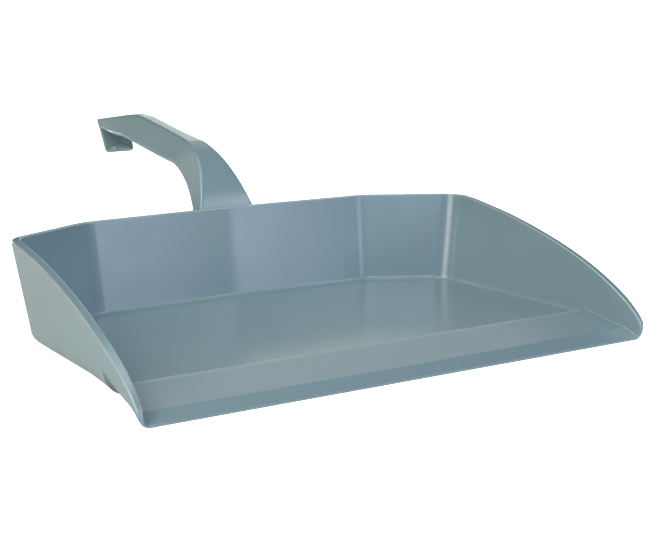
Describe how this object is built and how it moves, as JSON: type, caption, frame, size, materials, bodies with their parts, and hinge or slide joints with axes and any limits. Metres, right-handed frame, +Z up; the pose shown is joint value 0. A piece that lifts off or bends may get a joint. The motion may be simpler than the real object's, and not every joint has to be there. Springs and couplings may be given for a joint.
{
  "type": "dustpan",
  "caption": "Hand dustpan: drafted tray with faceted back wall, falling side walls, ramp and scraper lip, and a raised channel handle with hooked end and hang hole.",
  "frame": {"origin": "middle of the object's box, on the ground it stands on", "axes": "+Y from the lip back towards the end of the handle, +Z up, +X to the right for someone who looks along +Y"},
  "size_m": [0.2976, 0.3438, 0.0935],
  "materials": {
    "blue_grey_plastic": "satin moulded polypropylene"
  },
  "bodies": {
    "root": {"pan_floor": "blue_grey_plastic", "left_side_wall": "blue_grey_plastic", "right_side_wall": "blue_grey_plastic", "back_wall": "blue_grey_plastic", "entry_ramp": "blue_grey_plastic", "scraper_lip": "blue_grey_plastic", "handle_root": "blue_grey_plastic", "handle_grip": "blue_grey_plastic", "handle_end_hook": "blue_grey_plastic"}
  },
  "joints": []
}
